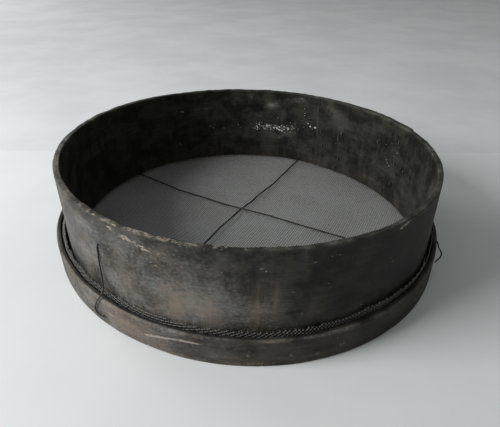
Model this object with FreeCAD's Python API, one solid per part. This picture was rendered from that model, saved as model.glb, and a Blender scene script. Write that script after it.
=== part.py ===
import FreeCAD, Part
import math
import os

# Hand sieve: a tall bentwood hoop stands on a disc of woven wire cloth. The cloth's edge is folded
# up round the hoop, and a low retaining hoop is nailed on round the fold. Millimetres, +Z up; the
# origin is on the floor under the middle, and the retaining hoop's lower edge rests on z = 0.
V = FreeCAD.Vector

# Tall hoop: one strip of bent wood, sprung a little out of round, with a rim that isn't quite level.
# A lobe is (how many round the hoop, how far each stands out, azimuth of one of them).
MAIN_THICK = 5.2
MAIN = {"radius": 204.4, "centre": (-0.7, 1.1), "lobes": [(2, 5.8, -61.7)]}
MAIN_LAP = {"outer_end": 12.0, "inner_end": 58.5, "tip": 2.0}
RIM_HEIGHT = 108.8
RIM_SLOPE = (-0.0048, -0.0087)
TRIM = 5.0

# Low retaining hoop, also one strip with a lap.
BAND_THICK = 5.0
BAND_HEIGHT = 30.0
BAND = {"radius": 216.2, "centre": (-0.1, 2.0), "lobes": [(2, 3.3, -48.1), (3, 2.3, 39.6)]}
BAND_LAP = {"outer_end": 148.0, "inner_end": 176.0, "tip": 2.0}
LAYER_GAP = 0.15

# Wire cloth: its thickness is two wires, and its folded edge stands between the hoops.
CLOTH_THICK = 1.2
CLOTH_TOP = 4.1
EDGE_TOP = 36.0
EDGE_SHARE = 0.62

# Two wires cross the cloth. Each passes under the tall hoop in a notch and is turned up outside it.
# The upper one is lifted where it passes over the other, and half as much at the points beside that.
CROSS_WIRE = 1.8
NOTCH_SLACK = 0.2
NOTCH_DEPTH = 20.8
NOTCH_PROUD = 3.0
TURN_UP = 11.0
TURN_UP_RADIUS = 1.1
TURN_UP_STANDOFF = 1.2
KINK_RADIUS = 24.0
CROSSING = (-8, 30)
LOWER_WIRE_LINE = [(77, 180), (60, 146), (49, 126), (37, 101), (18, 72), (6, 50), CROSSING,
                   (-16, 15), (-31, -13), (-45, -43), (-77, -105)]
UPPER_WIRE_LINE = [(-150, 126), (-123, 106), (-92, 81), (-55, 60), (-31, 43), CROSSING,
                   (28, 14), (61, -4), (109, -31), (150, -54)]
CROSSING_LIFT = CROSS_WIRE + 0.1
SHOULDER_LIFT = 0.45 * CROSSING_LIFT

# Tie wires, bent over the retaining hoop by hand. Each point is (azimuth, hoop that it stands off,
# distance from that hoop's outer face, height).
TIE_WIRE = 1.4
TIE_RADIUS = 4.0
TIE_HOLE_RADIUS = 1.6
LEFT_TIE = [(-127.6, "main", -8.0, 74.8), (-127.6, "main", -8.0, 81.0), (-127.6, "main", 0.8, 81.0),
            (-128.0, "main", 1.2, 63.0), (-127.4, "main", 2.6, 50.5), (-126.5, "main", 5.6, 38.6),
            (-126.3, "band", -0.4, 34.5), (-127.7, "band", 2.2, 26.5), (-129.6, "band", 1.6, 16.0),
            (-129.6, "band", 1.2, 8.6), (-127.8, "band", 1.4, 7.0), (-126.0, "band", 2.0, 12.5)]
RIGHT_TIE = [(-22.8, "main", -8.0, 14.5), (-22.8, "main", -8.0, 20.0), (-22.8, "main", 1.0, 20.0),
             (-22.9, "main", 2.0, 39.5), (-23.2, "band", -0.4, 33.2), (-23.5, "band", 1.7, 28.2),
             (-23.8, "band", 6.1, 22.4), (-24.1, "band", 5.4, 17.8), (-24.6, "band", 1.6, 12.2)]

# Nails: azimuth and height of each.
SHANK_RADIUS = 0.8
HEAD_RADIUS = 2.2
HEAD_CROWN_RADIUS = 1.3
HEAD_THICK = 0.8
HEAD_LIFT = 0.1
CLENCH_RADIUS = 0.6
CLENCH_LENGTH = 4.0
CLENCH_OVERLAP = 0.4
CLENCH_CLEAR = 0.9
MAIN_LAP_NAILS = [(15.5, 88.0), (16.0, 60.0), (16.5, 31.0), (27.0, 75.0), (27.5, 44.0), (46.0, 65.0),
                  (46.5, 27.0), (54.0, 92.0), (56.0, 60.0), (55.0, 40.0)]
BAND_LAP_NAILS = [(151.5, 8.5), (151.5, 21.5), (171.0, 8.5), (171.0, 21.5)]
BAND_NAILS = [(-88.9, 13.0), (-79.7, 11.5), (-73.9, 9.0), (-68.5, 13.0), (-44.0, 14.0), (-12.0, 12.0),
              (20.0, 15.0), (48.0, 12.0), (76.0, 14.0), (106.0, 13.0), (134.0, 15.0), (196.0, 12.0),
              (219.0, 15.0)]

STEP_AZ = 10.0


def outline_radius(outline, azimuth):
    """Outer radius of a hoop's outline, away from its lap."""
    lobes = sum(size * math.cos(count * math.radians(azimuth - at)) for count, size, at in outline["lobes"])
    return outline["radius"] + lobes


def outline_point(outline, azimuth, offset, z):
    """Point at an azimuth, offset outward from the outline."""
    r = outline_radius(outline, azimuth) + offset
    cx, cy = outline["centre"]
    return V(cx + r * math.cos(math.radians(azimuth)), cy + r * math.sin(math.radians(azimuth)), z)


def spread(start, end):
    """Azimuths from start to end, both included, about STEP_AZ apart."""
    count = max(2, round(abs(end - start) / STEP_AZ))
    return [start + (end - start) * i / count for i in range(count + 1)]


def smooth_edge(points):
    curve = Part.BSplineCurve()
    curve.interpolate(points)
    return curve.toShape()


def blend(a, b, share):
    return a + (b - a) * share


def strip_offsets(azimuth, lap, thick):
    """Inner and outer offsets of the strip at a running azimuth. It runs from the outer end of its
    lap, once round, and on inside itself to the inner end. Both ends are shaved thin."""
    outer_end, inner_end, tip = lap["outer_end"], lap["inner_end"], lap["tip"]
    lap_angle = inner_end - outer_end
    if azimuth <= inner_end:
        u = (inner_end - azimuth) / lap_angle
        return -thick * (1 - u) + LAYER_GAP / 2, tip * u
    if azimuth >= outer_end + 360:
        u = (inner_end + 360 - azimuth) / lap_angle
        return -thick - tip * (1 - u), -thick * (1 - u) - LAYER_GAP / 2
    # Beside the lap the strip eases over to make room for its own gap between layers.
    ease = 0.0
    if azimuth > outer_end + 360 - STEP_AZ:
        ease = LAYER_GAP / 2 * (azimuth - outer_end - 360 + STEP_AZ) / STEP_AZ
    start = 0.0
    if azimuth < inner_end + STEP_AZ:
        start = LAYER_GAP / 2 * (inner_end + STEP_AZ - azimuth) / STEP_AZ
    return -thick + start, -ease


def lapped_hoop(outline, lap, thick, z_low, z_high):
    """A strip of wood bent round onto itself, standing on edge from z_low to z_high."""
    azimuths = spread(lap["outer_end"], lap["inner_end"])
    azimuths += spread(lap["inner_end"], lap["outer_end"] + 360)[1:]
    azimuths += spread(lap["outer_end"] + 360, lap["inner_end"] + 360)[1:]
    inner, outer = [], []
    for azimuth in azimuths:
        offsets = strip_offsets(azimuth, lap, thick)
        for points, offset in zip((inner, outer), offsets):
            points.append(outline_point(outline, azimuth, offset, z_low))
    section = Part.Wire([
        smooth_edge(outer),
        Part.LineSegment(outer[-1], inner[-1]).toShape(),
        smooth_edge(inner[::-1]),
        Part.LineSegment(inner[0], outer[0]).toShape(),
    ])
    return Part.Face(section).extrude(V(0, 0, z_high - z_low))


def above_rim():
    """Everything above the tall hoop's sloping rim, to cut away."""
    reach, depth = 300, 60
    block = Part.makeBox(2 * reach, 2 * reach, depth, V(-reach, -reach, 0))
    upward = V(-RIM_SLOPE[0], -RIM_SLOPE[1], 1)
    block.Placement = FreeCAD.Placement(V(0, 0, RIM_HEIGHT), FreeCAD.Rotation(V(0, 0, 1), upward))
    return block


def edge_point(azimuth, offset, z):
    """Point on the middle of the cloth's folded edge, which stands between the two hoops."""
    inside = outline_point(MAIN, azimuth, 0, z)
    outside = outline_point(BAND, azimuth, -BAND_THICK, z)
    middle = blend(inside, outside, EDGE_SHARE)
    outward = V(math.cos(math.radians(azimuth)), math.sin(math.radians(azimuth)), 0)
    return middle + outward * offset


def closed_prism(point_at, z_low, z_high):
    points = [point_at(azimuth, z_low) for azimuth in spread(0, 360)[:-1]]
    curve = Part.BSplineCurve()
    curve.interpolate(Points=points, PeriodicFlag=True)
    return Part.Face(Part.Wire([curve.toShape()])).extrude(V(0, 0, z_high - z_low))


def cloth_disc():
    return closed_prism(lambda a, z: edge_point(a, CLOTH_THICK / 2, z), CLOTH_TOP - CLOTH_THICK, CLOTH_TOP)


def cloth_edge():
    outside = closed_prism(lambda a, z: edge_point(a, CLOTH_THICK / 2, z), CLOTH_TOP, EDGE_TOP)
    inside = closed_prism(lambda a, z: edge_point(a, -CLOTH_THICK / 2, z), CLOTH_TOP, EDGE_TOP)
    return outside.cut(inside)


def outward_normal(outline, azimuth, z):
    little = 0.5
    ahead = outline_point(outline, azimuth + little, 0, z)
    behind = outline_point(outline, azimuth - little, 0, z)
    tangent = (ahead - behind).normalize()
    return tangent.cross(V(0, 0, 1))


def bent_wire(points, radii, diameter):
    """Round wire along straight runs joined by tangent arcs. Prints its volume against section times
    length."""
    edges, start = [], points[0]
    for before, corner, after, wanted in zip(points, points[1:], points[2:], radii):
        back, ahead = (before - corner), (after - corner)
        shorter = min(back.Length, ahead.Length)
        back.normalize()
        ahead.normalize()
        half_turn = (math.pi - back.getAngle(ahead)) / 2
        radius = min(wanted, 0.45 * shorter / math.tan(half_turn))
        reach = radius * math.tan(half_turn)
        into, out_of = corner + back * reach, corner + ahead * reach
        bisector = (back + ahead).normalize()
        middle = corner + bisector * (radius / math.cos(half_turn) - radius)
        edges.append(Part.LineSegment(start, into).toShape())
        edges.append(Part.Arc(into, middle, out_of).toShape())
        start = out_of
    edges.append(Part.LineSegment(start, points[-1]).toShape())
    spine = Part.Wire(edges)
    section = Part.Wire([Part.makeCircle(diameter / 2, points[0], points[1] - points[0])])
    wire = spine.makePipeShell([section], True, False)
    ideal = math.pi * diameter ** 2 / 4 * spine.Length
    print("wire length %.1f volume %.1f against %.1f" % (spine.Length, wire.Volume, ideal))
    return wire


def cross_wire_ends(line):
    """The line's two ends carried on to the tall hoop's outer face: azimuth of each."""
    azimuths = []
    for (x0, y0), (x1, y1) in ((line[1], line[0]), (line[-2], line[-1])):
        x, y, step = x1, y1, 0.2
        length = math.hypot(x1 - x0, y1 - y0)
        while True:
            azimuth = math.degrees(math.atan2(y - MAIN["centre"][1], x - MAIN["centre"][0]))
            edge = outline_point(MAIN, azimuth, 0, 0)
            if math.hypot(x, y) >= math.hypot(edge.x, edge.y):
                break
            x += step * (x1 - x0) / length
            y += step * (y1 - y0) / length
        azimuths.append(azimuth)
    return azimuths


def cross_wire(line, lifts):
    """A wire lying on the cloth. lifts raises its point at the crossing, and those 1 away from it."""
    lie = CLOTH_TOP + CROSS_WIRE / 2
    middle = line.index(CROSSING)
    points = [V(x, y, lie + lifts.get(abs(i - middle), 0.0)) for i, (x, y) in enumerate(line)]
    first, last = (outline_point(MAIN, a, TURN_UP_STANDOFF, lie) for a in cross_wire_ends(line))
    up = V(0, 0, TURN_UP)
    points = [first + up, first] + points + [last, last + up]
    radii = [TURN_UP_RADIUS] + [KINK_RADIUS] * (len(points) - 4) + [TURN_UP_RADIUS]
    return bent_wire(points, radii, CROSS_WIRE)


def notch(line):
    """Cutters for the two notches in the tall hoop's lower edge that a cross wire passes through."""
    width = CROSS_WIRE + 2 * NOTCH_SLACK
    cutters = []
    for azimuth, (x0, y0), (x1, y1) in zip(cross_wire_ends(line), (line[1], line[-2]), (line[0], line[-1])):
        run = math.degrees(math.atan2(y1 - y0, x1 - x0))
        corner = V(NOTCH_PROUD - NOTCH_DEPTH, -width / 2, -NOTCH_SLACK)
        block = Part.makeBox(NOTCH_DEPTH, width, width, corner)
        block.rotate(V(0, 0, 0), V(0, 0, 1), run)
        block.translate(outline_point(MAIN, azimuth, 0, CLOTH_TOP))
        cutters.append(block)
    return cutters


def tie_wire(route):
    points = []
    for azimuth, hoop, offset, z in route:
        outline = MAIN if hoop == "main" else BAND
        points.append(outline_point(outline, azimuth, offset, z))
    radii = [TIE_HOLE_RADIUS] * 2 + [TIE_RADIUS] * (len(points) - 4)
    return bent_wire(points, radii, TIE_WIRE)


def nail(outline, azimuth, z, head_offset, depth):
    """A nail driven square into a hoop and clenched inside. Returns the nail and its shank alone."""
    normal = outward_normal(outline, azimuth, z)
    seat = outline_point(outline, azimuth, head_offset, z)
    tip = seat - normal * depth
    shank = Part.makeCylinder(SHANK_RADIUS, depth + HEAD_LIFT, tip, normal)
    head = Part.makeCone(HEAD_RADIUS, HEAD_CROWN_RADIUS, HEAD_THICK, seat + normal * HEAD_LIFT, normal)
    clench = Part.makeCylinder(CLENCH_RADIUS, CLENCH_LENGTH, tip - V(0, 0, CLENCH_LENGTH - CLENCH_OVERLAP))
    whole = shank.fuse([head, clench])
    return whole, shank


def lap_nail(outline, lap, thick, azimuth, z):
    """A nail through both layers of a lap."""
    share = (lap["inner_end"] - azimuth) / (lap["inner_end"] - lap["outer_end"])
    return nail(outline, azimuth, z, lap["tip"] * share, thick + lap["tip"] + CLENCH_CLEAR)


def band_nail(azimuth, z):
    """A nail through the retaining hoop, the cloth's edge and the tall hoop."""
    face = outline_point(BAND, azimuth, 0, z)
    inside = outline_point(MAIN, azimuth, -MAIN_THICK, z)
    lapped = MAIN_LAP["outer_end"] < azimuth < MAIN_LAP["inner_end"]
    extra = MAIN_LAP["tip"] if lapped else 0.0
    return nail(BAND, azimuth, z, 0, (face - inside).Length + extra + CLENCH_CLEAR)


def main():
    os.makedirs("parts", exist_ok=True)
    parts = {}
    hoop = lapped_hoop(MAIN, MAIN_LAP, MAIN_THICK, CLOTH_TOP, RIM_HEIGHT + TRIM).cut(above_rim())
    band = lapped_hoop(BAND, BAND_LAP, BAND_THICK, 0.0, BAND_HEIGHT)
    edge = cloth_edge()

    parts["cross_wire_lower"] = cross_wire(LOWER_WIRE_LINE, {})
    parts["cross_wire_upper"] = cross_wire(UPPER_WIRE_LINE, {0: CROSSING_LIFT, 1: SHOULDER_LIFT})
    parts["tie_wire_left"] = tie_wire(LEFT_TIE)
    parts["tie_wire_right"] = tie_wire(RIGHT_TIE)

    main_cutters = notch(LOWER_WIRE_LINE) + notch(UPPER_WIRE_LINE)
    main_cutters += [parts["tie_wire_left"], parts["tie_wire_right"]]
    band_cutters, edge_cutters = [], []
    for i, (azimuth, z) in enumerate(MAIN_LAP_NAILS, 1):
        nailed = lap_nail(MAIN, MAIN_LAP, MAIN_THICK, azimuth, z)
        parts["hoop_lap_nail_%02d" % i], shank = nailed
        main_cutters.append(shank)
    for i, (azimuth, z) in enumerate(BAND_LAP_NAILS, 1):
        parts["band_lap_nail_%02d" % i], shank = lap_nail(BAND, BAND_LAP, BAND_THICK, azimuth, z)
        band_cutters.append(shank)
    for i, (azimuth, z) in enumerate(BAND_NAILS, 1):
        parts["band_nail_%02d" % i], shank = band_nail(azimuth, z)
        main_cutters.append(shank)
        band_cutters.append(shank)
        edge_cutters.append(shank)

    parts["main_hoop"] = hoop.cut(main_cutters)
    parts["retaining_hoop"] = band.cut(band_cutters)
    parts["wire_cloth"] = cloth_disc()
    parts["wire_cloth_edge"] = edge.cut(edge_cutters)

    for name, shape in parts.items():
        box = shape.BoundBox
        size = "%.1f x %.1f x %.1f" % (box.XLength, box.YLength, box.ZLength)
        print("%-20s valid %s solids %d size %s" % (name, shape.isValid(), len(shape.Solids), size))
        shape.Solids[0].exportStep("parts/%s.step" % name)


main()
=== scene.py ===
import math

import bpy
import numpy as np
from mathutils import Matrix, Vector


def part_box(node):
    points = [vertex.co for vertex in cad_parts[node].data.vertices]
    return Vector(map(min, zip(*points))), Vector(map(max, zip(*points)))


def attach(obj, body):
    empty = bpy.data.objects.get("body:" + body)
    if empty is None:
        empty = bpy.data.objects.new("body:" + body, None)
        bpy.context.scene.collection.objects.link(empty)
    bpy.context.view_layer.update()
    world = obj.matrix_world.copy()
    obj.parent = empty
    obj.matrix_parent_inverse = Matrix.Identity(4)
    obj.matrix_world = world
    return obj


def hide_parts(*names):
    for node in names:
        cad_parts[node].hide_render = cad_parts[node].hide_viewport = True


# Looks of an old hand sieve: a tall bentwood hoop on woven wire cloth, which a low nailed hoop holds.
# Metres, in the frame of the CAD model. Azimuths are in degrees, from +X towards +Y.
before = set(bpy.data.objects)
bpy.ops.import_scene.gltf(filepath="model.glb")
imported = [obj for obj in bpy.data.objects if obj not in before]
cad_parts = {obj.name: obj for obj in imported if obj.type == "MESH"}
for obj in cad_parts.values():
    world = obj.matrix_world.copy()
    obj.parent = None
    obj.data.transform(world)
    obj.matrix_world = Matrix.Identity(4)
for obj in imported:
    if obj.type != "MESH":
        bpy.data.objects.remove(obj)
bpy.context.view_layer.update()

# Outlines of the two hoops, as in the CAD model. A lobe is (how many round, size, azimuth of one).
# Each hoop is a strip of wood that laps on itself from its outer end to its inner end. Its tips are
# shaved thin. Its layers lie LAYER_GAP apart, which fades out over LAP_EASE degrees beyond the lap.
MAIN = {"radius": 0.2044, "centre": (-0.0007, 0.0011), "lobes": [(2, 0.0058, -61.7)]}
MAIN_THICK = 0.0052
MAIN_LAP = {"outer_end": 12.0, "inner_end": 58.5, "tip": 0.0020}
RIM_HEIGHT = 0.1088
RIM_SLOPE = (-0.0048, -0.0087)
BAND = {"radius": 0.2162, "centre": (-0.0001, 0.0020), "lobes": [(2, 0.0033, -48.1), (3, 0.0023, 39.6)]}
BAND_THICK = 0.0050
BAND_LAP = {"outer_end": 148.0, "inner_end": 176.0, "tip": 0.0020}
LAYER_GAP = 0.00015
LAP_EASE = 10.0

# Levels, from the CAD nodes.
BAND_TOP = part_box("retaining_hoop")[1].z
CLOTH_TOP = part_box("wire_cloth")[1].z
CLOTH_MIDDLE = (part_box("wire_cloth")[0].z + CLOTH_TOP) / 2
EDGE_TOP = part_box("wire_cloth_edge")[1].z


def outline_radius(outline, azimuth):
    """Outer radius of a hoop at an azimuth."""
    lobes = sum(size * np.cos(count * np.radians(azimuth - at)) for count, size, at in outline["lobes"])
    return outline["radius"] + lobes


def outline_xy(outline, azimuth, offset):
    """Point at an azimuth, offset outward from the outline."""
    radius = outline_radius(outline, azimuth) + offset
    cx, cy = outline["centre"]
    return cx + radius * np.cos(np.radians(azimuth)), cy + radius * np.sin(np.radians(azimuth))


def ease(share):
    """0 to 1 with soft ends."""
    share = np.clip(share, 0, 1)
    return share * share * (3 - 2 * share)


def hump(distance, width):
    """1 at no distance, and fading to 0 over a few widths."""
    return np.exp(-(distance / width) ** 2)


def soft_noise(u, v, cell_u, cell_v, seed):
    """Smooth noise from -1 to 1 with cells of a given length and height."""
    size = 128
    grid = np.random.default_rng(seed).uniform(-1, 1, (size, size))
    x, y = np.broadcast_arrays(u / cell_u, v / cell_v)
    i, j = np.floor(x).astype(int), np.floor(y).astype(int)
    fx, fy = ease(x - i), ease(y - j)
    near = grid[i % size, j % size] * (1 - fx) + grid[(i + 1) % size, j % size] * fx
    far = grid[i % size, (j + 1) % size] * (1 - fx) + grid[(i + 1) % size, (j + 1) % size] * fx
    return near * (1 - fy) + far * fy


def layered_noise(u, v, layers):
    """Noises of several sizes on top of each other: each is its size, cell length, cell height, seed."""
    return sum(size * soft_noise(u, v, cell_u, cell_v, seed) for size, cell_u, cell_v, seed in layers)


def turn(azimuth, at):
    """Angle from one azimuth to another, the short way round."""
    return (azimuth - at + 180) % 360 - 180


def around(azimuth, at, spread):
    """1 at an azimuth, and fading to 0 over a few spreads, in degrees."""
    return hump(turn(azimuth, at), spread)


def spot(azimuth, z, at, height, half_width, half_height, lean=0.0):
    """A soft round or slanting mark on a hoop's face, 1 in its middle. Widths are in metres."""
    across = np.radians(turn(azimuth, at)) * MAIN["radius"]
    up = z - height - lean * across
    return np.exp(-(across / half_width) ** 2 - (up / half_height) ** 2)


def spots(azimuth, z, places):
    """The marks of a list, laid over each other."""
    total = np.zeros(np.broadcast(azimuth, z).shape)
    for at, height, half_width, half_height, strength, lean in places:
        total = np.maximum(total, strength * spot(azimuth, z, at, height, half_width, half_height, lean))
    return total


def link(name, mesh, smooth=True):
    """A new object for a mesh."""
    obj = bpy.data.objects.new(name, mesh)
    bpy.context.scene.collection.objects.link(obj)
    if smooth:
        mesh.shade_smooth()
    return obj


# --- bent strips of wood -----------------------------------------------------------------------

# A point is on the outer or the inner face where the surface faces outward or inward by this much.
FACE_SHARE = 0.3


def strip_offsets(azimuth, lap, thick):
    """Inner and outer offsets of a strip at running azimuths. It runs from the outer end of its lap,
    once round, and on inside itself to the inner end. Both ends are shaved thin."""
    outer_end, inner_end, tip = lap["outer_end"], lap["inner_end"], lap["tip"]
    lap_angle = inner_end - outer_end
    first = (inner_end - azimuth) / lap_angle
    last = (inner_end + 360 - azimuth) / lap_angle
    start = LAYER_GAP / 2 * np.clip(1 + first * lap_angle / LAP_EASE, 0, 1)
    finish = LAYER_GAP / 2 * np.clip(1 - (last - 1) * lap_angle / LAP_EASE, 0, 1)
    inner = np.where(first > 0, -thick * (1 - first), -thick) + start
    outer = np.where(first > 0, tip * first, -finish)
    inner = np.where(last < 1, -thick - tip * (1 - last), inner)
    outer = np.where(last < 1, -thick * (1 - last) - LAYER_GAP / 2, outer)
    return inner, outer


def corner_rows(steps, start, end):
    """Angles of a rounded corner's rows, without its two ends."""
    return [math.radians(start + (end - start) * (i + 1) / (steps + 1)) for i in range(steps)]


def section_rows(inner, outer, low, high, radii, counts):
    """The strip's rounded section at every column: each row's offset and height, and the direction
    (across, up) its surface faces."""
    top_out, top_in, low_in, low_out = radii
    face_rows, corner_steps, edge_rows = counts
    rows = []

    def face(offset, start, end, across):
        for share in np.linspace(0, 1, face_rows):
            rows.append((offset, start + (end - start) * share, across, 0.0))

    def corner(offset, height, radius, start, end):
        for angle in corner_rows(corner_steps, start, end):
            c, s = math.cos(angle), math.sin(angle)
            rows.append((offset + radius * c, height + radius * s, c, s))

    def edge(start, end, height, up):
        for share in np.linspace(0, 1, edge_rows):
            rows.append((start + (end - start) * share, height, 0.0, up))

    face(outer, low + low_out, high - top_out, 1.0)
    corner(outer - top_out, high - top_out, top_out, 0, 90)
    edge(outer - top_out, inner + top_in, high, 1.0)
    corner(inner + top_in, high - top_in, top_in, 90, 180)
    face(inner, high - top_in, low + low_in, -1.0)
    corner(inner + low_in, low + low_in, low_in, 180, 270)
    edge(inner + low_in, outer - low_out, low, -1.0)
    corner(outer - low_out, low + low_out, low_out, 270, 360)
    offset, height, across, up = (np.stack([np.broadcast_to(r[i], inner.shape) for r in rows], 1)
                                  for i in range(4))
    return offset, height, across, up


def strip_mesh(name, outline, azimuth, offset, height, wear_and_sheen):
    """Closed mesh of a bent strip. offset and height are tables of columns by rows."""
    columns, rows = offset.shape
    run = np.concatenate([[0], np.cumsum(np.radians(np.diff(azimuth)) * outline["radius"])])
    x, y = outline_xy(outline, azimuth[:, None], offset)
    vertices = np.stack([x, y, height], 2).reshape(-1, 3)
    here = np.arange(columns - 1)[:, None] * rows + np.arange(rows)[None, :]
    above = np.roll(here, -1, axis=1)
    quads = np.stack([here, here + rows, above + rows, above], 2).reshape(-1, 4)
    caps = [list(range(rows)), list(range((columns - 1) * rows, columns * rows))[::-1]]
    mesh = bpy.data.meshes.new(name)
    mesh.from_pydata(vertices.tolist(), [], quads.tolist() + caps)
    strip = np.stack([np.broadcast_to(run[:, None], offset.shape), offset, height], 2)
    along = mesh.attributes.new("strip", "FLOAT_VECTOR", "POINT")
    along.data.foreach_set("vector", strip.astype(np.float32).ravel())
    # Per point: bare, warm, dust (with painted sheen and highlights in places) and splashes.
    marks = mesh.attributes.new("wear_and_sheen", "FLOAT_COLOR", "POINT")
    marks.data.foreach_set("color", np.stack(wear_and_sheen, 2).astype(np.float32).ravel())
    return link(name, mesh)


def calm_near(azimuth, z, places, reach):
    """0 beside each place (azimuth, height) and 1 away from them all."""
    calm = np.ones(np.broadcast(azimuth, z).shape)
    for at, height in places:
        calm *= 1 - spot(azimuth, z, at, height, reach, reach)
    return calm


# --- the tall hoop -----------------------------------------------------------------------------

# Columns round the strip, and rows up a face, round a corner and across an edge.
MAIN_COLUMNS = 860
MAIN_ROWS = (44, 5, 4)
# Radii of the strip's long edges: the rim outside, the rim inside, and both at the foot.
MAIN_EDGES = (0.0011, 0.0009, 0.0008)
# The inner face stands in a little at the left: azimuth, and how far.
INNER_SWELL = (185.0, 0.0006)
# The rim is worn down, in waves: each is its size, cell length, cell height and seed.
RIM_LOSS = 0.0004
RIM_WAVE = 0.0003
RIM_WORN = [(1.0, 0.024, 1, 11), (0.6, 0.006, 1, 12)]
# Chips in the rim: azimuth, half width in degrees, share of the full depth.
CHIPS = [(-51.8, 2.2, 1.0), (-117.0, 4.0, 0.9), (-127.5, 1.2, 0.5), (-96.0, 1.5, 0.4),
         (-34.0, 1.6, 0.4), (40.0, 2.5, 0.5), (118.0, 2.0, 0.5), (171.0, 3.0, 0.6)]
CHIP_DEPTH = 0.0016
NICK_DEPTH = 0.0006
# How far below the rim the wood is rubbed.
RUBBED_DEPTH = 0.0026
# The cross wires pass under the hoop in notches: depth, half width, and the width of a side's slope.
NOTCH_DEPTH = 0.0023
NOTCH_REACH = 0.0042
NOTCH_SLOPE = 0.0020
# Height of a shallow line round the inside, just above the cloth, and its wave.
INNER_LINE = 0.0165
LINE_WAVE = [(0.0015, 0.06, 1, 22)]
# The surface's unevenness, as waves like the rim's. The rim has more of it.
MAIN_RELIEF = [(0.00032, 0.085, 0.050, 31), (0.00014, 0.022, 0.012, 32), (0.00006, 0.030, 0.0026, 33)]
RIM_RELIEF = [(0.00012, 0.007, 0.004, 34)]
# The left tie wire's hole: azimuth, height, and half width and half height of the dent round it.
LEFT_TIE_HOLE = (-127.6, 0.0810, 0.0016, 0.0020)
LEFT_TIE_DENT = 0.0011
# The wood is even this far round a nail, and nearly so where a lap's layers touch.
NAIL_CALM = 0.005
LAP_CALM = 0.08
# Marks on the two faces: azimuth, height, half width, half height, strength, lean. BARE is wood worn
# bare, WARM is stained wood, DUST is pale dirt with painted light in places, and PAINT is where
# splashes lie close together. The outer dust marks on the front and left, where the light falls, are
# painted sheen as well as dirt. One inner dust mark, narrow and upright at the lap's inner end, is a
# painted highlight on that lit end.
DENTED_MARKS = 4  # the first marks of OUTER_BARE, which are chipped out as well
OUTER_BARE = [
    (-117.5, 0.1020, 0.0100, 0.0030, 1.0, -0.10), (-113.0, 0.0990, 0.0110, 0.0022, 1.0, -0.30),
    (-121.5, 0.1060, 0.0060, 0.0030, 0.8, 0.0), (-108.0, 0.0965, 0.0050, 0.0012, 0.8, -0.5),
    (-115.5, 0.0885, 0.0022, 0.0011, 0.9, 0.0), (-112.6, 0.0875, 0.0018, 0.0010, 0.8, 0.0),
    (-109.8, 0.0860, 0.0050, 0.0012, 0.9, -0.4), (-131.5, 0.1045, 0.0035, 0.0012, 0.7, 0.0),
    (-127.3, 0.1030, 0.0032, 0.0022, 0.8, -0.4), (-103.5, 0.1000, 0.0020, 0.0030, 0.5, 1.6),
    (-86.0, 0.0940, 0.0030, 0.0024, 0.75, 0.0), (-78.8, 0.0700, 0.0040, 0.0030, 0.6, 0.0),
    (-69.5, 0.0985, 0.0038, 0.0008, 1.1, -0.4), (-75.0, 0.0960, 0.0024, 0.0014, 0.8, 0.0),
    (-66.0, 0.0740, 0.0026, 0.0007, 0.9, 0.6), (-72.0, 0.0640, 0.0012, 0.0010, 0.9, 0.0),
    (-52.5, 0.1060, 0.0085, 0.0016, 1.3, 0.20), (-43.0, 0.1050, 0.0060, 0.0010, 1.0, 0.1),
]
OUTER_WARM = [
    (-103.0, 0.0490, 0.0180, 0.0130, 0.85, 0.0), (-97.0, 0.0460, 0.0090, 0.0150, 1.0, 0.0),
    (-95.8, 0.0600, 0.0025, 0.0160, 0.5, 0.0), (-86.5, 0.0560, 0.0060, 0.0200, 0.8, 0.0),
    (-83.0, 0.0620, 0.0022, 0.0160, 0.6, 0.0), (-107.5, 0.0640, 0.0070, 0.0080, 0.5, 0.0),
    (-74.0, 0.0480, 0.0080, 0.0100, 0.3, 0.0), (-119.0, 0.0560, 0.0080, 0.0140, 0.35, 0.0),
    (60.0, 0.0550, 0.0300, 0.0150, 0.6, 0.0), (150.0, 0.0600, 0.0260, 0.0180, 0.6, 0.0),
    (-160.0, 0.0450, 0.0200, 0.0140, 0.4, 0.0),
]
# Pale dust, and painted sheen where the light falls on the front and left of the outside.
OUTER_DUST_AND_SHEEN = [
    (-116.0, 0.0500, 0.0700, 0.0450, 0.75, 0.0), (-148.0, 0.0700, 0.0620, 0.0800, 0.66, 0.0),
    (-134.0, 0.0750, 0.0450, 0.0400, 0.90, 0.0), (-102.0, 0.0520, 0.0600, 0.0380, 0.95, 0.0),
    (-112.0, 0.0850, 0.0900, 0.0340, 0.64, 0.0), (-88.0, 0.0480, 0.0350, 0.0260, 0.65, 0.0),
    (-70.0, 0.0350, 0.0450, 0.0060, 0.2, 0.0), (100.0, 0.0700, 0.0600, 0.0350, 0.4, 0.0),
    (30.0, 0.0500, 0.0450, 0.0350, 0.3, 0.0), (160.0, 0.0650, 0.0900, 0.0400, 0.4, 0.0),
]
INNER_BARE = [
    (119.7, 0.0323, 0.0030, 0.0012, 1.3, 0.6), (107.0, 0.0800, 0.0090, 0.0011, 0.75, 0.1),
    (117.5, 0.0800, 0.0120, 0.0011, 0.70, 0.1), (96.0, 0.0690, 0.0050, 0.0010, 0.60, 0.0),
]
INNER_DUST_AND_LAP_HIGHLIGHT = [
    (79.5, 0.0860, 0.0100, 0.0050, 0.7, 0.0), (67.0, 0.0980, 0.0140, 0.0060, 0.7, 0.0),
    (50.0, 0.0900, 0.0200, 0.0090, 0.4, 0.2), (88.0, 0.0960, 0.0030, 0.0050, 0.5, 0.0),
    # The second mark below, narrow and upright at 58.5 degrees, is a painted highlight on the lap's lit inner
    # end.
    (75.0, 0.0440, 0.0250, 0.0080, 0.3, 0.0), (58.5, 0.0850, 0.0012, 0.0180, 0.5, 0.0),
    (44.0, 0.0700, 0.0300, 0.0100, 0.2, 0.3), (-20.0, 0.0700, 0.0500, 0.0250, 0.2, 0.0),
]
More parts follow.
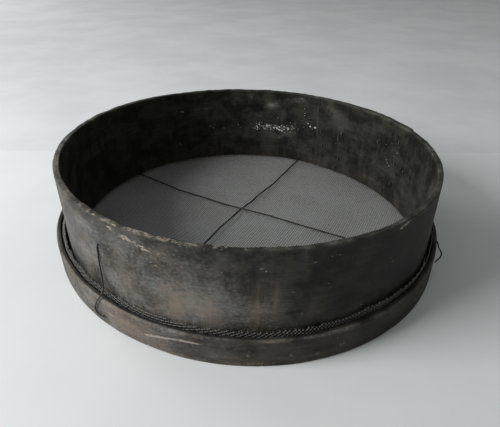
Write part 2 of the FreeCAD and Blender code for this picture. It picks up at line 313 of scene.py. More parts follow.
INNER_PAINT = [
    (79.5, 0.0525, 0.0280, 0.0042, 1.5, 0.0), (72.5, 0.0530, 0.0070, 0.0028, 1.6, 0.0),
    (62.0, 0.0640, 0.0130, 0.0040, 0.4, 0.0), (50.0, 0.0560, 0.0260, 0.0160, 0.05, 0.0),
    (14.5, 0.0880, 0.0040, 0.0030, 0.15, 0.0), (20.0, 0.0640, 0.0400, 0.0300, 0.025, 0.0),
    (100.0, 0.0500, 0.0260, 0.0060, 0.12, 0.0), (70.0, 0.0620, 0.0600, 0.0300, 0.04, 0.0),
]
# How densely small splashes lie on both hoops' outsides.
OUTER_SPECKS = 0.012


def rim_line(azimuth):
    """Height of the tall hoop's sloping rim."""
    x, y = outline_xy(MAIN, azimuth, 0)
    return RIM_HEIGHT + RIM_SLOPE[0] * x + RIM_SLOPE[1] * y


def node_points(node):
    """The points of a CAD node's mesh."""
    return np.array([v.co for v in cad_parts[node].data.vertices])


def notch_azimuths():
    """Azimuths of the cross wires' four turned-up ends, from their CAD meshes."""
    turned_up = CLOTH_TOP + 0.009
    same_end = 0.02
    found = []
    for node in ("cross_wire_lower", "cross_wire_upper"):
        points = node_points(node)
        ends = points[points[:, 2] > turned_up]
        angle = np.degrees(np.arctan2(ends[:, 1] - MAIN["centre"][1], ends[:, 0] - MAIN["centre"][0]))
        near = np.hypot(ends[:, 0] - ends[0, 0], ends[:, 1] - ends[0, 1]) < same_end
        found += [float(np.median(angle[near])), float(np.median(angle[~near]))]
    return found


def wire_notches(azimuth):
    """How far the hoop's lower edge is cut up, where the two cross wires pass under it."""
    lift = np.zeros(azimuth.shape)
    for at in notch_azimuths():
        across = np.abs(np.radians(turn(azimuth, at))) * MAIN["radius"]
        lift = np.maximum(lift, NOTCH_DEPTH * ease((NOTCH_REACH - across) / NOTCH_SLOPE))
    return lift


def nail_places(prefixes):
    """Azimuth and height of each nail head, from the CAD nodes."""
    places = []
    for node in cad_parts:
        if node.startswith(prefixes):
            points = node_points(node)
            head = points[np.argmax(np.hypot(points[:, 0], points[:, 1]))]
            azimuth = math.degrees(math.atan2(head[1], head[0]))
            places.append((azimuth, float(head[2])))
    return places


def lap_hidden(azimuth, lap, across):
    """1 on the two faces that lie against each other inside a lap."""
    first = azimuth < lap["inner_end"] + LAP_EASE
    last = azimuth > lap["outer_end"] + 360 - LAP_EASE
    return (first[:, None] & (across < -0.5)) | (last[:, None] & (across > 0.5))


def lap_share(azimuth, lap):
    """1 inside the lap's two layers, and 0 away from them."""
    first = ease((lap["inner_end"] + LAP_EASE - azimuth) / LAP_EASE)
    last = ease((azimuth - lap["outer_end"] - 360 + LAP_EASE) / LAP_EASE)
    return np.maximum(first, last)


def main_section(azimuth, run):
    """The tall hoop's section at every column, and the height of its rim."""
    inner, outer = strip_offsets(azimuth, MAIN_LAP, MAIN_THICK)
    plain = lap_share(azimuth, MAIN_LAP) == 0
    inner = inner - plain * INNER_SWELL[1] * ease(np.cos(np.radians(azimuth - INNER_SWELL[0])))
    worn = layered_noise(run, 0, RIM_WORN)
    high = rim_line(azimuth) - RIM_LOSS - RIM_WAVE * worn
    low = CLOTH_TOP + wire_notches(azimuth)
    chip = np.zeros(azimuth.shape)
    for at, half_width, depth in CHIPS:
        chip = np.maximum(chip, depth * around(azimuth, at, half_width))
    nicks = ease(soft_noise(run, 0, 0.004, 1, 13) * 2.2 - 1.2)
    thick = outer - inner
    rim_out, rim_in, foot = MAIN_EDGES
    top_out = np.minimum(rim_out + CHIP_DEPTH * chip + NICK_DEPTH * nicks + 0.0002 * worn, 0.45 * thick)
    top_in = np.minimum(rim_in + 0.0003 * worn, 0.45 * thick)
    foot = np.minimum(foot, 0.4 * thick)
    return section_rows(inner, outer, low, high, (top_out, top_in, foot, foot), MAIN_ROWS), high


def inner_line(u):
    """Height of the shallow line round the inside."""
    return INNER_LINE + layered_noise(u, 0, LINE_WAVE)


def main_wear_and_sheen(column, u, height, across, high):
    """How bare, warm, dusty and splashed the tall hoop is, point by point. The dust also carries painted
    sheen on the lit front and left, and a painted highlight at the lap's inner end.
    """
    outside = across > FACE_SHARE
    inside = across < -FACE_SHARE
    edge = ease((height - (high[:, None] - RUBBED_DEPTH)) / RUBBED_DEPTH)
    rubbed = 0.8 + 0.5 * soft_noise(u, height, 0.007, 0.004, 21)

    bare = outside * spots(column, height, OUTER_BARE) + inside * spots(column, height, INNER_BARE)
    front = 0.22 + 0.50 * around(column, -112, 28)
    bare = np.maximum(bare, edge * front * rubbed)
    warm = outside * spots(column, height, OUTER_WARM)
    warm = np.maximum(warm, inside * 0.08 * ease((0.03 - height) / 0.02))
    # Outside: pale dust, and painted sheen on the front and left where the light falls. Inside: pale dust,
    # and a painted highlight at the lap's inner end.
    dust_and_sheen = outside * spots(column, height, OUTER_DUST_AND_SHEEN) + inside * spots(column, height, INNER_DUST_AND_LAP_HIGHLIGHT)
    # The rim's edge is paler, more so towards the left.
    dust_and_sheen = np.maximum(dust_and_sheen, edge * (0.40 + 0.35 * around(column, -160, 45)) * rubbed)
    dust_and_sheen = np.maximum(dust_and_sheen, inside * 0.12 * hump(height - inner_line(u) - 0.003, 0.0012))
    paint = inside * spots(column, height, INNER_PAINT)
    paint = np.maximum(paint, outside * OUTER_SPECKS)
    return bare, warm, dust_and_sheen, paint


def main_relief(azimuth, u, height, across):
    """How far the tall hoop's surface stands out or in, point by point."""
    column = azimuth[:, None]
    outside = across > FACE_SHARE
    inside = across < -FACE_SHARE
    near_rim = ease((height - 0.096) / 0.012)
    relief = layered_noise(u, height, MAIN_RELIEF)
    relief += near_rim * layered_noise(u, height, RIM_RELIEF)
    relief -= outside * 0.0007 * ease(spots(column, height, OUTER_BARE[:DENTED_MARKS]) * 1.6 - 0.5)
    relief -= inside * 0.0003 * hump(height - inner_line(u), 0.0010)
    calm = calm_near(column, height, nail_places("hoop_lap_nail"), NAIL_CALM)
    relief *= np.where(outside, calm, 1) * np.where(lap_hidden(azimuth, MAIN_LAP, across), LAP_CALM, 1)
    return relief - outside * LEFT_TIE_DENT * spot(column, height, *LEFT_TIE_HOLE)


def main_hoop():
    azimuth = np.linspace(MAIN_LAP["outer_end"], MAIN_LAP["inner_end"] + 360, MAIN_COLUMNS)
    run = np.radians(azimuth) * MAIN["radius"]
    (offset, height, across, up), high = main_section(azimuth, run)
    u = run[:, None]
    wear_and_sheen = main_wear_and_sheen(azimuth[:, None], u, height, across, high)
    relief = main_relief(azimuth, u, height, across)
    piece = strip_mesh("hoop_wall", MAIN, azimuth, offset + relief * across, height + relief * up, wear_and_sheen)
    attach(piece, "root")
    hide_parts("main_hoop")
    return piece


# --- the retaining hoop ------------------------------------------------------------------------

BAND_COLUMNS = 900
BAND_ROWS = (30, 6, 4)
# Radii of the strip's long edges: the top outside, the top inside, the foot outside, the foot inside.
BAND_EDGES = (0.0026, 0.0012, 0.0014, 0.0010)
TOP_LOSS = 0.0003
BAND_RELIEF = [(0.00025, 0.070, 0.025, 51), (0.00010, 0.015, 0.006, 52), (0.00008, 0.040, 0.0018, 53)]
# The surface stands out no more than this, which keeps it inside the CAD model's box.
MOST_RELIEF = 0.0001
# The split that runs along the grain at the front left: azimuth and height along it. Its lip lies
# below its groove. Each has a half width and a height or depth.
SPLIT = [(-114.5, 0.0140), (-110.0, 0.0180), (-106.0, 0.0215), (-101.0, 0.0225), (-96.0, 0.0222)]
LIP_BELOW = 0.0017
LIP = (0.0010, 0.0005)
GROOVE = (0.0008, 0.0013)
BAND_BARE = [
    (-123.5, 0.0165, 0.0100, 0.0016, 0.8, -0.35), (-136.0, 0.0100, 0.0100, 0.0030, 0.7, -0.1),
    (-109.0, 0.0260, 0.0100, 0.0010, 0.7, -0.1), (-101.0, 0.0100, 0.0220, 0.0020, 0.5, -0.05),
    (-112.5, 0.0150, 0.0035, 0.0018, 0.9, 0.1), (-88.0, 0.0040, 0.0300, 0.0016, 0.7, 0.0),
    (-68.0, 0.0130, 0.0030, 0.0014, 0.9, 0.2), (-60.0, 0.0200, 0.0060, 0.0010, 0.4, 0.1),
    (-48.0, 0.0180, 0.0080, 0.0010, 0.4, 0.1), (10.0, 0.0160, 0.0200, 0.0020, 0.5, 0.0),
    (95.0, 0.0140, 0.0260, 0.0020, 0.5, 0.05), (-170.0, 0.0120, 0.0200, 0.0022, 0.5, 0.0),
]


def split_marks(azimuth, height):
    """The split's raised lip and its groove, each 1 in its middle."""
    signed = turn(azimuth, 0)
    along = ease((signed - SPLIT[0][0]) / 3) * ease((SPLIT[-1][0] - signed) / 5)
    from_split = height - np.interp(signed, [a for a, _ in SPLIT], [z for _, z in SPLIT])
    return hump(from_split + LIP_BELOW, LIP[0]) * along, hump(from_split, GROOVE[0]) * along


def band_section(azimuth, run):
    """The retaining hoop's section at every column."""
    inner, outer = strip_offsets(azimuth, BAND_LAP, BAND_THICK)
    worn = soft_noise(run, 0, 0.030, 1, 41)
    high = BAND_TOP - TOP_LOSS - TOP_LOSS * worn
    low = np.zeros(azimuth.shape)
    thick = outer - inner
    top_out, top_in, foot_out, foot_in = BAND_EDGES
    top_out = np.minimum(top_out + 0.0005 * worn, 0.55 * thick)
    top_in = np.minimum(top_in, 0.35 * thick)
    foot_out = np.minimum(foot_out + 0.0004 * soft_noise(run, 0, 0.013, 1, 42), 0.45 * thick)
    foot_in = np.minimum(foot_in, 0.35 * thick)
    return section_rows(inner, outer, low, high, (top_out, top_in, foot_in, foot_out), BAND_ROWS)


def band_wear_and_sheen(column, u, height, across):
    """How bare, warm, dusty and splashed the retaining hoop is, point by point. The dust also carries a
    painted highlight along the top edge, and painted sheen at the front left.
    """
    outside = across > FACE_SHARE
    lip, _ = split_marks(column, height)

    bare = outside * spots(column, height, BAND_BARE)
    # The split's raised lip shows raw wood, laid on pale enough to be its painted highlight as well.
    bare = np.maximum(bare, outside * 1.3 * lip)
    foot = ease((0.0055 - height) / 0.0040) * (0.4 + 0.6 * around(column, -105, 35))
    bare = np.maximum(bare, outside * foot * (0.55 + 0.25 * soft_noise(u, height, 0.03, 0.004, 43)))
    # Painted highlight along the rounded outer top edge, all the way round.
    crown_highlight = ease((height - 0.0255) / 0.0025) * ease(across * 2)
    dust_and_sheen = np.maximum(crown_highlight * (0.45 + 0.3 * soft_noise(u, height, 0.02, 0.004, 44)), 0.05)
    # Paler at the front left, towards the light: dust and painted sheen.
    dust_and_sheen = np.maximum(dust_and_sheen, outside * 0.70 * around(column, -125, 35))
    warm = outside * around(column, -120, 50) * (0.25 + 0.25 * soft_noise(u, height, 0.060, 0.010, 45))
    warm = np.maximum(warm, outside * 0.8 * spot(column, height, -118, 0.016, 0.030, 0.008))
    paint = np.full(bare.shape, OUTER_SPECKS)
    return bare, warm, dust_and_sheen, paint


def band_relief(azimuth, u, height, across):
    """How far the retaining hoop's surface stands out or in, point by point."""
    column = azimuth[:, None]
    outside = across > FACE_SHARE
    lip, groove = split_marks(column, height)
    relief = layered_noise(u, height, BAND_RELIEF)
    relief += outside * (LIP[1] * lip - GROOVE[1] * groove)
    calm = calm_near(column, height, nail_places(("band_nail", "band_lap_nail")), NAIL_CALM)
    relief *= np.where(outside, calm, 1) * np.where(lap_hidden(azimuth, BAND_LAP, across), LAP_CALM, 1)
    return np.minimum(relief, MOST_RELIEF)


def retaining_hoop():
    azimuth = np.linspace(BAND_LAP["outer_end"], BAND_LAP["inner_end"] + 360, BAND_COLUMNS)
    run = np.radians(azimuth) * BAND["radius"]
    offset, height, across, up = band_section(azimuth, run)
    u = run[:, None]
    wear_and_sheen = band_wear_and_sheen(azimuth[:, None], u, height, across)
    relief = band_relief(azimuth, u, height, across)
    above_floor = np.maximum(height + relief * up, 0)
    piece = strip_mesh("band_wall", BAND, azimuth, offset + relief * across, above_floor, wear_and_sheen)
    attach(piece, "root")
    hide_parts("retaining_hoop")
    return piece


# --- the wire cloth ----------------------------------------------------------------------------

# Distance and thickness of the wires, their sides, the azimuth of one family of them, and how far
# from the origin they are looked for.
PITCH = 0.00254
CLOTH_WIRE = 0.0006
CLOTH_SIDES = 5
CLOTH_TURN = 65.0
CLOTH_REACH = 0.2500
CLOTH_COUNT = int(CLOTH_REACH / PITCH)
# A cut end sticks out past its last crossing by this share of the pitch.
CUT_ENDS = (0.35, 0.75)
# The cloth's edge is folded up round this radius, and stands this far across the gap between the hoops.
FOLD_RADIUS = 0.0018
EDGE_SHARE = 0.62
# Its cut ends lie this far below the CAD node's top, in waves: size, cell length, cell height, seed.
EDGE_DROP = 0.0018
EDGE_WAVES = [(0.0007, 0.045, 1, 61), (0.0003, 0.008, 1, 62)]
FOLD_WAVES = [(0.0003, 0.020, 1, 63)]
# Where it stands up or is lower: azimuth, spread in degrees, height.
EDGE_SWELLS = [(-61.0, 3.2, 0.0018), (-52.0, 12.0, 0.0018), (-88.0, 16.0, -0.0019)]
# The flat cloth's slight unevenness, and how near its edge it dies out.
SAG = 0.00025
SAG_EDGE = 0.012


def edge_radius(azimuth):
    """Radius of the middle of the folded-up cloth, between the two hoops, from the origin."""
    inside = outline_xy(MAIN, azimuth, 0)
    outside = outline_xy(BAND, azimuth, -BAND_THICK)
    x, y = (a + (b - a) * EDGE_SHARE for a, b in zip(inside, outside))
    return np.hypot(x, y)


def edge_bow(azimuth, rise):
    """How far the folded-up cloth bows out to the retaining hoop, and then in to the tall hoop. It
    leans in most at the left, and stays by the retaining hoop at the right."""
    gap = edge_radius(azimuth) - np.hypot(*outline_xy(MAIN, azimuth, 0))
    left = around(azimuth, -160, 45)
    right = around(azimuth, -40, 32)
    bow_out = (0.08 + 0.20 * left + 0.20 * right) * ease((rise - 0.012) / 0.010)
    bow_in = (0.40 + 0.55 * left) * (1 - right) * ease((rise - 0.022) / 0.012)
    return gap * (bow_out - bow_in)


def edge_height(azimuth):
    """Height of the cloth's cut edge. It is uneven: lower at the front, and higher at the front right,
    where one place stands up."""
    arc = np.radians(azimuth) * BAND["radius"]
    swells = sum(height * around(azimuth, at, spread) for at, spread, height in EDGE_SWELLS)
    return EDGE_TOP - EDGE_DROP + layered_noise(arc, 0, EDGE_WAVES) + swells


def folded(x, y, lift):
    """Points of the flat cloth, with its edge folded up. lift is the height above its middle."""
    azimuth = np.degrees(np.arctan2(y, x))
    radius = edge_radius(azimuth)
    beyond = np.hypot(x, y) - (radius - FOLD_RADIUS)
    angle = np.clip(beyond / FOLD_RADIUS, 0, math.pi / 2)
    rise = np.maximum(beyond - FOLD_RADIUS * math.pi / 2, 0)
    wave = layered_noise(np.radians(azimuth) * radius, 0, FOLD_WAVES) * ease(rise / 0.02)
    wave = wave + edge_bow(azimuth, rise)
    level = np.hypot(x, y) - np.maximum(beyond, 0) + FOLD_RADIUS * np.sin(angle) + wave - lift * np.sin(angle)
    sag = SAG * (soft_noise(x, y, 0.045, 0.045, 64) - 1) * ease((radius - SAG_EDGE - level) / 0.02)
    z = CLOTH_MIDDLE + FOLD_RADIUS * (1 - np.cos(angle)) + rise + lift * np.cos(angle) + sag
    c, s = np.cos(np.radians(azimuth)), np.sin(np.radians(azimuth))
    normal = np.stack([-np.sin(angle) * c, -np.sin(angle) * s, np.cos(angle)], -1)
    return np.stack([level * c, level * s, z], -1), normal


def cloth_wire_points(index, crossways, rng):
    """One wire's points, and the way the cloth faces there: its crossings, where it goes over and
    under in turn, and its two cut ends. None if the wire misses the cloth."""
    steps = np.arange(-CLOTH_COUNT, CLOTH_COUNT + 1)
    along = steps * PITCH
    aside = np.full(along.shape, index * PITCH)
    lift = np.where((steps + index) % 2 == 0, 1.0, -1.0) * (-1 if crossways else 1) * CLOTH_WIRE / 2
    c, s = math.cos(math.radians(CLOTH_TURN)), math.sin(math.radians(CLOTH_TURN))
    first_way, second_way = (aside, along) if crossways else (along, aside)
    x, y = first_way * c - second_way * s, first_way * s + second_way * c
    azimuth = np.degrees(np.arctan2(y, x))
    reach = edge_radius(azimuth) + FOLD_RADIUS * (math.pi / 2 - 1) - FOLD_RADIUS
    reach = reach + edge_height(azimuth) - CLOTH_MIDDLE
    kept = np.hypot(x, y) < reach
    if kept.sum() < 3:
        return None
    first, last = np.argmax(kept), len(kept) - 1 - np.argmax(kept[::-1])
    x, y, lift = x[first:last + 1], y[first:last + 1], lift[first:last + 1]
    before, after = rng.uniform(*CUT_ENDS, 2)
    x = np.concatenate([[x[0] + before * (x[0] - x[1])], x, [x[-1] + after * (x[-1] - x[-2])]])
    y = np.concatenate([[y[0] + before * (y[0] - y[1])], y, [y[-1] + after * (y[-1] - y[-2])]])
    lift = np.concatenate([[lift[0] * 0.2], lift, [lift[-1] * 0.2]])
    return folded(x, y, lift)


def tube(points, normals, radius, sides, start):
    """Vertices and faces of a round wire through points, closed at both ends."""
    tangent = np.gradient(points, axis=0)
    tangent /= np.linalg.norm(tangent, axis=1, keepdims=True)
    side = np.cross(tangent, normals)
    side /= np.linalg.norm(side, axis=1, keepdims=True)
    top = np.cross(side, tangent)
    turns = 2 * math.pi * np.arange(sides) / sides
    ring = np.cos(turns)[None, :, None] * side[:, None, :] + np.sin(turns)[None, :, None] * top[:, None, :]
    vertices = (points[:, None, :] + radius * ring).reshape(-1, 3)
    here = start + np.arange(len(points) - 1)[:, None] * sides + np.arange(sides)[None, :]
    beside = np.roll(here, -1, axis=1)
    quads = np.stack([here, beside, beside + sides, here + sides], 2).reshape(-1, 4)
    last = start + (len(points) - 1) * sides
    caps = [list(range(start, start + sides))[::-1], list(range(last, last + sides))]
    return vertices, quads, caps


def cloth_piece(name, crossways, indices):
    """Half of one family of the cloth's wires, as one mesh."""
    rng = np.random.default_rng(abs(indices[0]) + 71 * (1 + crossways))
    vertices, faces, total = [], [], 0
    for index in indices:
        wire = cloth_wire_points(index, crossways, rng)
        if wire is None:
            continue
        some, quads, caps = tube(*wire, CLOTH_WIRE / 2, CLOTH_SIDES, total)
        vertices.append(some)
        faces += quads.tolist() + caps
        total += len(some)
    mesh = bpy.data.meshes.new(name)
    mesh.from_pydata(np.concatenate(vertices).tolist(), [], faces)
    piece = link(name, mesh)
    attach(piece, "root")
    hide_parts("wire_cloth", "wire_cloth_edge")
    return piece


def wire_cloth():
    halves = {"near": range(-CLOTH_COUNT, 0), "far": range(0, CLOTH_COUNT + 1)}
    pieces = []
    for family, crossways in (("warp", False), ("weft", True)):
        for half, indices in halves.items():
            pieces.append(cloth_piece("cloth_%s_%s" % (family, half), crossways, indices))
    return pieces


# --- materials ---------------------------------------------------------------------------------

class Finish:
    """A node material, built step by step. The calls that make a node give back its output."""

    def __init__(self, name):
        self.material = bpy.data.materials.new(name)
        self.material.use_nodes = True
        self.nodes = self.material.node_tree.nodes
        self.links = self.material.node_tree.links
        self.shader = self.nodes["Principled BSDF"]

    def put(self, socket, value):
        if isinstance(value, bpy.types.NodeSocket):
            self.links.new(value, socket)
        else:
            socket.default_value = value

    def node(self, kind, inputs, output=0, **settings):
        made = self.nodes.new(kind)
        for key, value in settings.items():
            setattr(made, key, value)
        for key, value in inputs.items():
            self.put(made.inputs[key], value)
        return made.outputs[output]

    def attribute(self, name, output):
        return self.node("ShaderNodeAttribute", {}, output, attribute_name=name)

    def place(self):
        """Where a point of the object is, in metres."""
        return self.node("ShaderNodeTexCoord", {}, "Object")

    def stretch(self, vector, scale):
        return self.node("ShaderNodeVectorMath", {0: vector, 1: scale}, operation="MULTIPLY")

    def noise(self, vector, scale, detail=4.0, roughness=0.55):
        """Noise with its own scale along each of the vector's three directions."""
        inputs = {"Vector": self.stretch(vector, scale), "Scale": 1.0,
                  "Detail": detail, "Roughness": roughness}
        return self.node("ShaderNodeTexNoise", inputs, "Fac")

    def level(self, value, low, high, to_low=0.0, to_high=1.0):
        inputs = {"Value": value, "From Min": low, "From Max": high, "To Min": to_low, "To Max": to_high}
        return self.node("ShaderNodeMapRange", inputs, interpolation_type="SMOOTHSTEP")

    def calc(self, operation, a, b):
        return self.node("ShaderNodeMath", {0: a, 1: b}, operation=operation)

    def mix(self, factor, a, b):
        return self.node("ShaderNodeMix", {0: factor, 6: a, 7: b}, 2, data_type="RGBA")

    def parts(self, vector):
        made = self.nodes.new("ShaderNodeSeparateXYZ")
        self.put(made.inputs[0], vector)
        return made.outputs[0], made.outputs[1], made.outputs[2]

    def specks(self, vector, density, share, ragged):
        """Scattered specks of many sizes: at most one in each of the cells along the vector. The
        larger the share, the more cells hold one."""
        cells = self.nodes.new("ShaderNodeTexVoronoi")
        self.put(cells.inputs["Vector"], self.stretch(vector, (density, density, density * 1.15)))
        self.put(cells.inputs["Scale"], 1.0)
        chance, size, _ = self.parts(cells.outputs["Color"])
        over = self.calc("SUBTRACT", self.calc("MULTIPLY", share, 0.62), chance)
        chosen = self.level(over, 0.0, 0.012)
        reach = self.level(size, 0.0, 1.0, 0.32, 0.70)
        far = self.calc("ADD", cells.outputs["Distance"], self.calc("MULTIPLY", ragged, 0.35))
        return self.calc("MULTIPLY", chosen, self.level(self.calc("SUBTRACT", reach, far), -0.06, 0.06))

    def bump(self, height, distance, strength=1.0):
        inputs = {"Height": height, "Distance": distance, "Strength": strength}
        return self.node("ShaderNodeBump", inputs, "Normal")


def colour(red, green, blue):
    return (red, green, blue, 1.0)


# Noises of the wood: scale along the strip, through it and up it, then detail and roughness.
WOOD_NOISES = {
    "grain": ((16, 420, 620), 6.0, 0.55),
    "fibre": ((90, 2400, 3600), 3.0, 0.55),
    "blotch": ((34, 40, 44), 7.0, 0.68),
    "cloud": ((9, 12, 12), 3.0, 0.55),
    "hue": ((24, 24, 30), 4.0, 0.6),
    "crumb": ((300, 300, 420), 5.0, 0.65),
    "speckle": ((700, 700, 800), 3.0, 0.7),
}
# Each wood's pale dust tone also paints sheen and highlights.
WOODS = {
    "hoop_wood": {"dark": colour(0.008, 0.009, 0.007), "middle": colour(0.036, 0.036, 0.030),
                  "light": colour(0.070, 0.066, 0.058), "warm": colour(0.195, 0.156, 0.118),
                  "dust_and_sheen": colour(0.220, 0.218, 0.206), "streaks": (130, 130, 20)},
    "band_wood": {"dark": colour(0.009, 0.009, 0.008), "middle": colour(0.042, 0.041, 0.035),
                  "light": colour(0.080, 0.074, 0.064), "warm": colour(0.215, 0.172, 0.128),
                  "dust_and_sheen": colour(0.240, 0.236, 0.222), "streaks": (22, 160, 190)},
}
RAW_WOOD = (colour(0.17, 0.145, 0.120), colour(0.42, 0.375, 0.32))
SPLASH = colour(0.52, 0.51, 0.48)


def patina(f, noises, tones):
    """Dark and uneven, with lighter streaks in places and darker grain."""
    tone = f.mix(f.level(noises["blotch"], 0.40, 0.62), tones["dark"], tones["middle"])
    streaked = f.level(noises["streak"], 0.48, 0.75, 0.0, 0.45)
    streaked = f.calc("MULTIPLY", streaked, f.level(noises["cloud"], 0.40, 0.62))
    tone = f.mix(streaked, tone, tones["light"])
    return f.mix(f.level(noises["grain"], 0.42, 0.60, 0.35, 0.0), tone, tones["dark"])


def dust_and_sheen_cover(f, noises, dust_and_sheen):
    """How much dust lies on the wood, together with the painted sheen and highlights laid on as dust: an even
    film, and crumbs of it.
    """
    crumbs = f.calc("MULTIPLY", f.calc("SUBTRACT", noises["crumb"], 0.5), 1.4)
    crumbs = f.level(f.calc("ADD", dust_and_sheen, crumbs), 0.35, 0.90)
    film = f.calc("MULTIPLY", dust_and_sheen, f.level(noises["blotch"], 0.38, 0.60, 0.25, 1.15))
    return f.calc("ADD", f.calc("MULTIPLY", film, 0.60), f.calc("MULTIPLY", crumbs, 0.35))


def rubbed_bare(f, noises, bare):
    """How much raw wood shows, with ragged ends along the grain."""
    ragged = f.calc("ADD", bare, f.calc("MULTIPLY", f.calc("SUBTRACT", noises["crumb"], 0.5), 1.9))
    ragged = f.calc("ADD", ragged, f.calc("SUBTRACT", noises["grain"], 0.5))
    return f.calc("MULTIPLY", f.level(ragged, 0.52, 0.90), f.level(bare, 0.03, 0.30))


def splashed(f, noises, strip, paint):
    """Where dried splashes are: a few large ones and many small ones."""
    large = f.specks(strip, 260, f.calc("SUBTRACT", paint, 0.03), noises["speckle"])
    return f.calc("MAXIMUM", large, f.specks(strip, 800, paint, noises["speckle"]))


def aged_wood(name):
    """Old bent wood: dark patina over long grain, with bare, stained, dusty and splashed places. The pale
    dust also paints sheen and highlights where the light falls.
    """
    tones = WOODS[name]
    f = Finish(name)
    strip = f.attribute("strip", "Vector")
    bare, warm, dust_and_sheen = f.parts(f.attribute("wear_and_sheen", "Vector"))
    paint = f.attribute("wear_and_sheen", "Alpha")
    noises = {key: f.noise(strip, *settings) for key, settings in WOOD_NOISES.items()}
    noises["streak"] = f.noise(strip, tones["streaks"], 5.0, 0.6)
    dust_and_sheen_amount = dust_and_sheen_cover(f, noises, dust_and_sheen)
    broken = rubbed_bare(f, noises, bare)
    splash = splashed(f, noises, strip, paint)

    # The pale dust tone, laid on where dust lies, also stands for painted sheen and highlights.
    grime_and_sheen = f.mix(f.level(noises["hue"], 0.40, 0.60, 0.0, 0.55), tones["dust_and_sheen"], tones["warm"])
    stained = f.calc("MULTIPLY", warm, f.level(noises["streak"], 0.34, 0.58, 0.20, 0.75))
    raw = f.mix(f.level(noises["fibre"], 0.35, 0.65), *RAW_WOOD)
    tone = f.mix(f.calc("MULTIPLY", dust_and_sheen_amount, 0.85), patina(f, noises, tones), grime_and_sheen)
    tone = f.mix(f.level(noises["crumb"], 0.62, 0.40, 0.0, 0.16), tone, tones["dark"])
    tone = f.mix(stained, tone, tones["warm"])
    tone = f.mix(f.calc("MULTIPLY", broken, 0.9), tone, raw)
    tone = f.mix(f.calc("MULTIPLY", splash, 0.85), tone, SPLASH)
    f.put(f.shader.inputs["Base Color"], tone)

    rough = f.level(noises["blotch"], 0.30, 0.70, 0.46, 0.66)
    rough = f.calc("ADD", rough, f.calc("MULTIPLY", f.calc("MAXIMUM", broken, dust_and_sheen_amount), 0.22))
    f.put(f.shader.inputs["Roughness"], rough)
    f.put(f.shader.inputs["Specular IOR Level"], 0.16)

    relief = 0.0
    for height, share in ((noises["grain"], 0.55), (noises["fibre"], 0.25), (noises["speckle"], 0.20),
                          (splash, 0.6)):
        relief = f.calc("ADD", f.calc("MULTIPLY", height, share), relief)
    f.put(f.shader.inputs["Normal"], f.bump(relief, 0.0005, 0.8))
    return f.material


def cloth_metal():
    """Thin grey iron wire, dulled unevenly, with rust in places, and painted shade on the edge folded up
    between the hoops.
    """
    f = Finish("cloth_metal")
    place = f.place()
    patch = f.noise(place, (14, 14, 14), detail=4.0)
    grit = f.noise(place, (900, 900, 900), detail=2.0)
    tone = f.mix(f.level(grit, 0.35, 0.65), colour(0.14, 0.14, 0.135), colour(0.32, 0.32, 0.305))
    tone = f.mix(f.level(patch, 0.42, 0.66, 0.0, 0.55), tone, colour(0.13, 0.12, 0.105))
    stain = f.noise(place, (240, 240, 240), detail=4.0, roughness=0.6)
    tone = f.mix(f.level(stain, 0.52, 0.68, 0.0, 0.6), tone, colour(0.06, 0.052, 0.042))
    # Painted shade: the edge folded up into the gap between the hoops is darker and evener.
    folded_up_shade = f.level(f.parts(place)[2], 0.006, 0.014, 0.0, 0.8)
    tone = f.mix(folded_up_shade, tone, colour(0.125, 0.123, 0.114))
    f.put(f.shader.inputs["Base Color"], tone)
    f.put(f.shader.inputs["Metallic"], 0.55)
    f.put(f.shader.inputs["Roughness"], f.level(grit, 0.30, 0.70, 0.38, 0.60))
    f.put(f.shader.inputs["Normal"], f.bump(grit, 0.00012))
    return f.material


# Wires and nails: the start of their nodes' names, then the material's name, tones and share of rust.
IRONS = [
    ("cross_wire", "cross_wire_iron", colour(0.030, 0.028, 0.027), colour(0.070, 0.040, 0.025), 0.05),
    ("tie_wire", "tie_wire_iron", colour(0.030, 0.029, 0.028), colour(0.075, 0.050, 0.035), 0.08),
    (("band_nail", "band_lap_nail"), "nail_iron", colour(0.070, 0.067, 0.062),
     colour(0.110, 0.075, 0.055), 0.12),
    ("hoop_lap_nail", "lap_nail_iron", colour(0.105, 0.100, 0.090), colour(0.12, 0.09, 0.07), 0.12),
]


def dark_iron(name, dark, rust, amount):
    """Blackened iron wire or nail with patches of rust."""
    f = Finish(name)
    place = f.place()
    patch = f.noise(place, (220, 220, 220), detail=5.0, roughness=0.6)
    pits = f.noise(place, (1600, 1600, 1600), detail=3.0)
    rusted = f.level(patch, 0.62 - amount, 0.80 - amount)
    tone = f.mix(rusted, dark, rust)
    tone = f.mix(f.level(pits, 0.40, 0.62, 0.5, 0.0), tone, colour(0.012, 0.011, 0.010))
    f.put(f.shader.inputs["Base Color"], tone)
    f.put(f.shader.inputs["Metallic"], f.level(patch, 0.45, 0.70, 0.25, 0.0))
    f.put(f.shader.inputs["Roughness"], f.level(patch, 0.40, 0.70, 0.45, 0.85))
    f.put(f.shader.inputs["Normal"], f.bump(f.calc("ADD", pits, patch), 0.0003))
    return f.material


def stage_surface(name, pale, shade):
    """Pale matt surface with a faint mottle."""
    f = Finish(name)
    place = f.place()
    mottle = f.noise(place, (5, 5, 5), detail=5.0, roughness=0.6)
    tooth = f.noise(place, (700, 700, 700), detail=2.0)
    f.put(f.shader.inputs["Base Color"], f.mix(f.level(mottle, 0.35, 0.65), shade, pale))
    f.put(f.shader.inputs["Roughness"], 0.85)
    f.put(f.shader.inputs["Specular IOR Level"], 0.2)
    f.put(f.shader.inputs["Normal"], f.bump(tooth, 0.0002, 0.3))
    return f.material


def dress(obj, material):
    obj.data.materials.clear()
    obj.data.materials.append(material)


def dress_nodes(starts, material):
    """Put a material on the CAD nodes whose names start so."""
    for name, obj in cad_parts.items():
        if name.startswith(starts):
            dress(obj, material)


# --- stage, light and camera -------------------------------------------------------------------

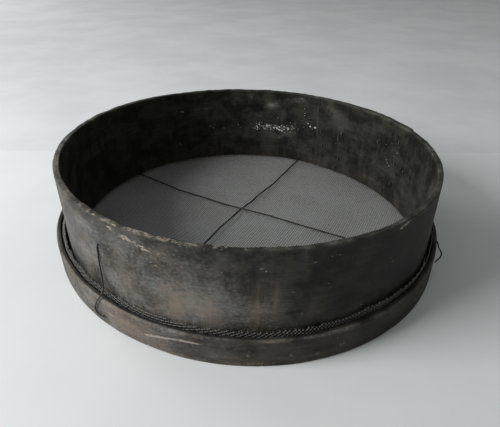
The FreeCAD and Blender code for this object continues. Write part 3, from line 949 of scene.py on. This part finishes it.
# The floor ends at a seam, and goes on a little lower behind it.
SEAM_Y = 0.224
BACK_LEVEL = -0.0015
STAGE_SIZE = 12.0
# Lights: place, target, width and height, power.
LIGHTS = {
    "window": ((-1.55, -0.55, 0.95), (0.0, 0.0, 0.05), (1.0, 1.0), 40),
    "far_window": ((-2.1, 1.8, 1.1), (-0.7, 1.3, 0.0), (1.1, 1.1), 20),
}
ROOM_TONE = (0.97, 0.98, 0.97)
ROOM_STRENGTH = 0.26
CAMERA_PLACE = (0.00455, -0.4721, 0.3012)
CAMERA_TILT = 57.46
CAMERA_PAN = 0.25
CAMERA_LENS = 32.98
CAMERA_SENSOR = 36.0
CAMERA_RISE = 0.0239


def stage_plane(name, y_low, y_high, z, material):
    left, right = -STAGE_SIZE, STAGE_SIZE
    corners = [(left, y_low, z), (right, y_low, z), (right, y_high, z), (left, y_high, z)]
    mesh = bpy.data.meshes.new(name)
    mesh.from_pydata(corners, [], [(0, 1, 2, 3)])
    plane = link(name, mesh, smooth=False)
    dress(plane, material)


def stage():
    pale = stage_surface("floor_pale", colour(0.765, 0.785, 0.790), colour(0.730, 0.750, 0.755))
    back = stage_surface("back_pale", colour(0.74, 0.75, 0.76), colour(0.67, 0.68, 0.69))
    stage_plane("floor", -STAGE_SIZE, SEAM_Y, 0.0, pale)
    stage_plane("floor_back", SEAM_Y, STAGE_SIZE, BACK_LEVEL, back)


def area_light(name, location, target, size, power):
    data = bpy.data.lights.new(name, "AREA")
    data.shape = "RECTANGLE"
    data.size, data.size_y = size
    data.energy = power
    lamp = bpy.data.objects.new(name, data)
    bpy.context.scene.collection.objects.link(lamp)
    lamp.location = location
    direction = np.array(target) - np.array(location)
    flat = math.hypot(direction[0], direction[1])
    lamp.rotation_euler = (math.atan2(flat, -direction[2]), 0,
                           math.atan2(direction[1], direction[0]) - math.pi / 2)


def lights():
    for name, settings in LIGHTS.items():
        area_light(name, *settings)
    world = bpy.data.worlds.new("room")
    world.use_nodes = True
    background = world.node_tree.nodes["Background"]
    background.inputs["Color"].default_value = colour(*ROOM_TONE)
    background.inputs["Strength"].default_value = ROOM_STRENGTH
    bpy.context.scene.world = world


def camera():
    data = bpy.data.cameras.new("camera")
    data.sensor_width = CAMERA_SENSOR
    data.lens = CAMERA_LENS
    data.shift_y = CAMERA_RISE
    data.clip_start, data.clip_end = 0.01, 20.0
    seen = bpy.data.objects.new("camera", data)
    bpy.context.scene.collection.objects.link(seen)
    seen.location = CAMERA_PLACE
    seen.rotation_mode = "ZYX"
    seen.rotation_euler = (math.radians(CAMERA_TILT), 0, math.radians(CAMERA_PAN))
    bpy.context.scene.camera = seen


def main():
    dress(main_hoop(), aged_wood("hoop_wood"))
    dress(retaining_hoop(), aged_wood("band_wood"))
    metal = cloth_metal()
    for piece in wire_cloth():
        dress(piece, metal)
    for starts, name, dark, rust, amount in IRONS:
        dress_nodes(starts, dark_iron(name, dark, rust, amount))
    stage()
    lights()
    camera()
    bpy.context.scene.view_settings.view_transform = "Standard"


main()
